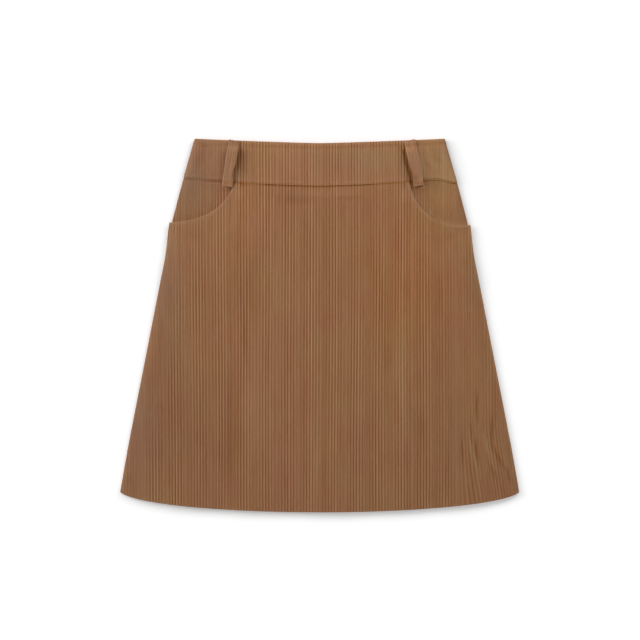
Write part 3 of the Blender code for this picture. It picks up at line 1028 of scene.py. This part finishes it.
def stitched(name, lines, lifted, seat=unmoved, outside=1, pitch=3.3, long=2.6, radius=0.19):
    """Stitches along lines, each a short thread that dips into the cloth at both ends.

    lifted gives the height of the face, and seat turns places into the garment's. outside is 1 on a top
    face and -1 on an underside.
    """
    ring = np.arange(RING) / RING * 2 * math.pi
    shares, heights, widths = np.array(STITCH).T
    points, faces = [], []
    for line in lines:
        line = np.column_stack((*seat(*line.T), lifted(*line.T)))
        run = np.concatenate(([0], np.cumsum(np.linalg.norm(np.diff(line, axis=0), axis=1))))
        for start in np.arange(0.4, run[-1] - long, pitch):
            at = start + shares * long
            middle = np.stack([np.interp(at, run, line[:, k]) for k in range(3)], -1)
            middle[:, 2] += heights * outside
            along = unit(middle[-1] - middle[0])
            across = unit(np.cross(along, (0, 0, 1)))
            up = np.cross(across, along)
            first = len(points) * RING * len(STITCH)
            circle = np.cos(ring)[:, None] * across + np.sin(ring)[:, None] * up
            points.append((middle[:, None] + radius * widths[:, None, None] * circle).reshape(-1, 3))
            for k in range(first, first + RING * (len(STITCH) - 1), RING):
                sides = [(k + j, k + (j + 1) % RING) for j in range(RING)]
                faces += [(a, b, b + RING, a + RING) for a, b in sides]
    piece = mesh_object(name, np.vstack(points), np.array(faces))
    piece.data.materials.append(THREAD_LOOK)
    return piece


def offset(line, by):
    """A line moved to its right-hand side, as one walks along it."""
    way = unit(np.gradient(line, axis=0))
    return line + way[:, ::-1] * (by, -by)


def band_stitches(node, u, lifted, outside=1):
    lines = level(u, top_y, -TOPSTITCH), level(u, seam_y, EDGE_STITCH)
    return stitched(f"{node}_stitches", lines, lifted, outside=outside)


def ride(piece, slot, with_pieces=()):
    """Gives a cloth piece its look and its place in the model; it is named after its CAD solid."""
    node = piece.name.removesuffix("_cloth")
    piece.data.materials.append(LOOKS[slot])
    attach(piece, "root")
    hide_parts(node)
    for other in with_pieces:
        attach(other, "root")


def ride_loop(piece, seat, length, foot, lifted, outside):
    """Stitches across a belt loop near its head and its foot, and its place in the model."""
    x = np.linspace(-TACK_HALF, TACK_HALF, 20)
    lines = [row_at(x, y) for y in (-TOPSTITCH, foot - length)]
    stitches = stitched(piece.name.replace("cloth", "stitches"), lines, lifted, seat, outside, 2.4, 1.9)
    ride(piece, "corduroy_loop", [stitches])


def make_front():
    piece = shell("front_panel", front_outline(), lambda x, y: front_form(x, y) - hem_turn(x, y),
                  front_over, depth=front_depth, tint=front_tint, shade=broad_shade, middle=24,
                  edge=lambda x, y: 0.22 + 0.41 * ramp(below_seam(x, y), 0.8, 2))
    lines = [offset(MOUTHS[side], side * POCKET_STITCH)[2:-2] for side in (-1, 1)]
    stitches = stitched("pocket_stitches", lines, front_over)
    ride(piece, "corduroy",
         [stitches])


def make_facing(side, word):
    def under(x, y):
        return rise(*lattice(x, y))

    def over(x, y):
        below = below_seam(x, y)
        shown = ramp(np.abs(x) - POCKETS[side]["mouth_x"], 3, 6) * inset(u_at(x, y))
        foot = bell(side * x - FRONT_LOOPS[side][1], 9) * bell(below - FRONT_LOOP_FOOT, 5)
        return under(x, y) + FACING + shown * (0.6 * bell(below, 6) + 0.8 * foot)

    def depth(x, y):
        near = bell(distance(x, y, MOUTHS[side]), 9)
        return 0.16 + 0.4 * near * (1 - ramp(np.abs(x), 148, 18))

    # Painted light and shade on the facing: shade beside the left mouth's edge, light over the shadow that
    # the right mouth's edge casts, a darker waist seam and side edge, and the painted patches around the
    # loops' feet.
    def tint(x, y):
        at_mouth = distance(x, y, MOUTHS[side])
        left_rim = -0.08 * bell(at_mouth, 7) - 0.08 * bell(at_mouth - 3.6, 2) * ramp(y, 160, -8)
        rim = 0.3 * bell(at_mouth - 1, 2.2) if side > 0 else left_rim
        seam = (0.4 if side > 0 else 0.06) * bell(below_seam(x, y) - 0.2, 0.9)
        return rim - 0.12 * bell(from_side(x, y), 3) - seam + patches(x, y, PAINTED_LIGHT_AND_SHADE)

    piece = shell(f"pocket_facing_{word}", facing_outline(side), under, over, depth=depth,
                  tint=tint, shade=broad_shade, middle=6, edge=0.55)
    ride(piece, "corduroy_facing")


def make_back(side, word):
    def under(x, y):
        u, v = lattice(x, y)
        small = 0.2 + 0.18 * unevenness(x, y, 3 + side) + creased(side * x, y, BACK_CREASES)
        return loop_lift(u, v) + np.clip(small, 0, 0.6) * inset(u) * smooth(v / 0.06)

    def over(x, y):
        return loop_lift(*lattice(x, y)) + CLOTH + hem_turn(x, y)

    # The back's side edges are painted darker, as shade on the rolled sides.
    piece = shell(f"back_panel_{word}", back_outline(side), under, over, outside=-1, middle=24,
                  tint=lambda x, y: 0.02 * unevenness(x, y, 8 + side) - 0.1 * bell(from_side(x, y), 3),
                  depth=lambda x, y: WALE_DEPTH * nap(x + 40, y),
                  edge=lambda x, y: 0.3 + 0.33 * ramp(np.abs(x), 0.8, 2))
    ride(piece, "corduroy")


def make_front_band():
    piece = shell("front_waistband", front_band_outline(),
                  lambda x, y: FRONT_BAND_Z + crown(u_at(x, y), 0), band_over, depth=band_depth,
                  tint=band_tint, shade=band_shade, middle=6,
                  edge=lambda x, y: 0.3 + 0.55 * ramp(band_lines(x, y)[1], 0.8, 3))
    stitches = band_stitches("front_waistband", np.linspace(-0.99, 0.99, 400), band_over)
    ride(piece, "corduroy_band", [stitches])


def make_back_band(side, word):
    def lift(x, y):
        return loop_lift(u_at(x, y), 0)

    def under(x, y):
        return lift(x, y) + band_fold(x, y) + np.clip(0.35 - band_small(x, y, ()), 0, 1)

    piece = shell(f"back_waistband_{word}", band_half(side, SEAM_HALF), under,
                  lambda x, y: lift(x, y) + BAND, outside=-1, middle=6, edge=0.85,
                  depth=lambda x, y: band_depth(x * 0.6, y))
    stitches = band_stitches(f"back_waistband_{word}", np.linspace(0.02, 0.99, 200) * side,
                             lambda x, y: np.maximum(under(x, y), THREAD_ROOM), -1)
    ride(piece, "corduroy_band", [stitches])


def strap_outline(length):
    return [row_at(np.linspace(-LOOP_WIDTH / 2, LOOP_WIDTH / 2, 12), y) for y in (0, -length)]


def make_front_loop(side, word):
    strap = front_strap(side)
    *_, length = strap

    def seat(x, y):
        return seated(strap)(x + side * drawn_in(side, -y) * (0.5 - side * x / LOOP_WIDTH), y)

    def under(x, y):
        px, py = seat(x, y)
        arch = np.minimum(ramp(-y, LOOP_HEAD, LOOP_BEND), ramp(length + y, LOOP_TOE, LOOP_BEND))
        tilt = -side * x / (LOOP_WIDTH / 2) * LOOP_TILT[side] * arch
        band = BAND_TOP + crown(px / half_width(py), 0)
        return band + GAP + (LOOP_STANDS_OFF - GAP) * arch + tilt

    def over(x, y):
        pull = 0.35 * (bell(y + TOPSTITCH, 1) + bell(length + y - TACK_FRONT, 1))
        hollow = -0.15 * bell(x, 3.5) + 0.1 * unevenness(x * 3, y * 2, 4)
        return under(x, y) + STRAP - pull + hollow

    # Painted light where the loop's bend and foot turn from the lamps, and slightly lighter strips along
    # its long edges; on the right loop, painted shade at its head and light along its outer edge, over the
    # shadow it casts.
    def tint(x, y):
        up = length + y
        bend = 0.55 * bell(up - 9.8, 3.2) + (0.1 if side > 0 else 0.27) * bell(up, 1.4)
        if side > 0:
            bend = bend - 0.18 * bell(y + 8.5, 3.8) + 0.3 * bell(x - LOOP_WIDTH / 2, 1.2)
            bend = bend + 0.16 * bell(up - 7.6, 2.2)
        return bend + 0.03 * bell(np.abs(x) - 5.5, 1.5)

    # Painted shade: each loop's painted lightness from LOOP_SHADE, and on the right loop a darker inner
    # edge in its lower half, head and foot.
    def shade(x, y):
        inner = bell(x + LOOP_WIDTH / 2, 1.9) * ramp(-y, 18, 14)
        foot = 0.26 * bell(length + y - 3.2, 2.2)
        dark = 0.1 * bell(y + 8.5, 3.8) + 0.3 * inner + foot if side > 0 else 0.03
        return LOOP_SHADE[side] - dark + 0 * x

    piece = shell(f"belt_loop_front_{word}", strap_outline(length), under, over, wanders=zero, middle=8,
                  edge=0.85, seat=seat, tint=tint, shade=shade,
                  depth=lambda x, y: 0.2 * (0.4 + 0.6 * ramp(length + y, 9, 4)),
                  warmth=lambda x, y: FOOT_WARMTH[side] * bell(length + y - 8, 6))
    ride_loop(piece, seat, length, TACK_FRONT, over, 1)


def make_back_loop(side, word):
    u = side * BACK_LOOP_U
    head = level(u, top_y, -GAP)
    strap = strap_frame(head, place(u, 0) - (0, BACK_LOOP_FOOT))
    *_, length = strap

    def under(x, y):
        return 0.12 + 0.36 * (bell(y + TOPSTITCH, 1) + bell(length + y - TACK_BACK, 1))

    piece = shell(f"belt_loop_back_{word}", strap_outline(length), under, flat_at(BACK_STRAP), outside=-1,
                  wanders=zero, middle=8, edge=0.5, seat=seated(strap),
                  depth=lambda x, y: 0.4 * (0.25 + 0.75 * ramp(length + y, 7, 4)))
    ride_loop(piece, seated(strap), length, TACK_BACK, under, -1)


def make_shorts(side, word, is_front):
    def under(x, y):
        return (SHORTS_FRONT_Z if is_front else SHORTS_BACK_Z) + loop_lift(*lattice(x, y))

    where, below, area = ("front", "shorts_back", 0.0648) if is_front else ("back", "back_panel", 0.0624)
    piece = shell(f"shorts_{where}_{word}", shorts_outline(side, is_front), under,
                  lambda x, y: under(x, y) + LINING, outside=1 if is_front else -1, wanders=zero,
                  step=2.2, middle=14, edge=0.36, notch=None if is_front else side * ZIP_ROOM)
    ride(piece, "shorts_cloth")


def make_zip():
    """The closed zip: its tape on the inside of the centre-back seam, with its teeth along the middle."""
    high, low = seam_y(0) - GAP / 2 - GAP, place(0, ZIP_END_V)[1] + GAP
    outline = [row_at(np.linspace(-ZIP_HALF_WIDTH, ZIP_HALF_WIDTH, 16), y) for y in (high, low)]

    def over(x, y):
        return SHORTS_BACK_Z + table(np.abs(x), ((ZIP_COIL_HALF, ZIP_COIL), (3, ZIP_TAPE)))

    piece = shell("back_zip", outline, flat_at(SHORTS_BACK_Z), over, wanders=zero, step=0.7, middle=20,
                  edge=0.16)
    rows = np.arange(low + 1, high - 0.5, ZIP_PITCH)
    lines = [np.array(((-TOOTH_HALF, y), (TOOTH_HALF, y + 0.3))) for y in rows]
    height = flat_at(SHORTS_BACK_Z + ZIP_COIL)
    teeth = stitched("back_zip_teeth", lines, height, pitch=9, long=3.6, radius=0.34)
    ride(piece, "zip_tape", [teeth])


make_front()
make_front_band()
make_zip()
for side, word in ((-1, "left"), (1, "right")):
    make_facing(side, word)
    make_back(side, word)
    make_back_band(side, word)
    make_front_loop(side, word)
    make_back_loop(side, word)
    make_shorts(side, word, True)
    make_shorts(side, word, False)


# ---- floor, light and camera

# Name, place, size and power; from here on, sizes are in metres
LAMPS = (
    ("key", (-1.52, 1.08, 1.08), 1.6, 25.6),
    ("side", (-1.97, 0.39, 0.62), 1.25, 22),
    ("fill", (0.9, 1.1, 0.8), 0.8, 11.5),
)
FLOOR_GREY, FLOOR_WHITE, SKY = 0.95, 1.03, 0.33
FLOOR_REACH, FLOOR_DROP = 40, 0.0002
CAMERA_PLACE, LENS, SENSOR = (0.0004, 0.00715, 1.97), 85, 36


def make_floor():
    """A pale floor, with a glow towards the camera where the lamps leave it short of white."""
    mesh = bpy.data.meshes.new("floor")
    corners = [(x * FLOOR_REACH, y * FLOOR_REACH, 0) for x, y in ((-1, -1), (1, -1), (1, 1), (-1, 1))]
    mesh.from_pydata(corners, [], [(0, 1, 2, 3)])
    floor = put("floor", mesh)
    floor.location.z = -FLOOR_DROP
    look = material("pale_floor", Roughness=0.9, Specular_IOR_Level=0, Base_Color=rgba((FLOOR_GREY,) * 3),
                    Emission_Color=WHITE)
    at = look.place()
    lit = SKY
    for _, lamp, size, power in LAMPS:
        reach = math.hypot(*lamp)
        away, along = (look.vector(way, at, lamp, output="Value") for way in ("DISTANCE", "DOT_PRODUCT"))
        near = look.math("MULTIPLY", away, away)
        spread = look.math("MULTIPLY", near, look.math("ADD", near, size * size / 4))
        facing = look.math("DIVIDE", look.math("SUBTRACT", reach * reach, along), spread)
        lit = look.math("MULTIPLY_ADD", facing, power * lamp[2] / (math.pi**2 * reach), lit)
    glow = look.math("MAXIMUM", look.math("MULTIPLY_ADD", lit, -FLOOR_GREY, FLOOR_WHITE), 0)
    seen = look.add("LightPath", output="Is Camera Ray")
    look.wire(look.outer.inputs["Emission Strength"], look.math("MULTIPLY", glow, seen))
    mesh.materials.append(look.owner)


def area_light(name, place, size, power):
    """A round lamp that shines at the middle of the garment."""
    data = bpy.data.lights.new(name, "AREA")
    data.shape, data.size, data.energy = "DISK", size, power
    lamp = put(name, data)
    lamp.location = place
    lamp.rotation_mode = "QUATERNION"
    lamp.rotation_quaternion = (-lamp.location.normalized()).to_track_quat("-Z", "Y")


def make_world():
    """A white background that lights the scene less than it shows."""
    sky = Look(bpy.data.worlds.new("studio"), "Background", Color=WHITE)
    bpy.context.scene.world = sky.owner
    seen = sky.add("LightPath", output="Is Camera Ray")
    sky.wire(sky.outer.inputs["Strength"], sky.math("MAXIMUM", seen, SKY))


make_floor()
make_world()
for lamp in LAMPS:
    area_light(*lamp)

camera_data = bpy.data.cameras.new("camera")
camera_data.lens, camera_data.sensor_width = LENS, SENSOR
camera_data.clip_start, camera_data.clip_end = 0.05, 200
camera = put("camera", camera_data)
camera.location = CAMERA_PLACE
bpy.context.scene.camera = camera
bpy.context.scene.view_settings.view_transform = "Standard"
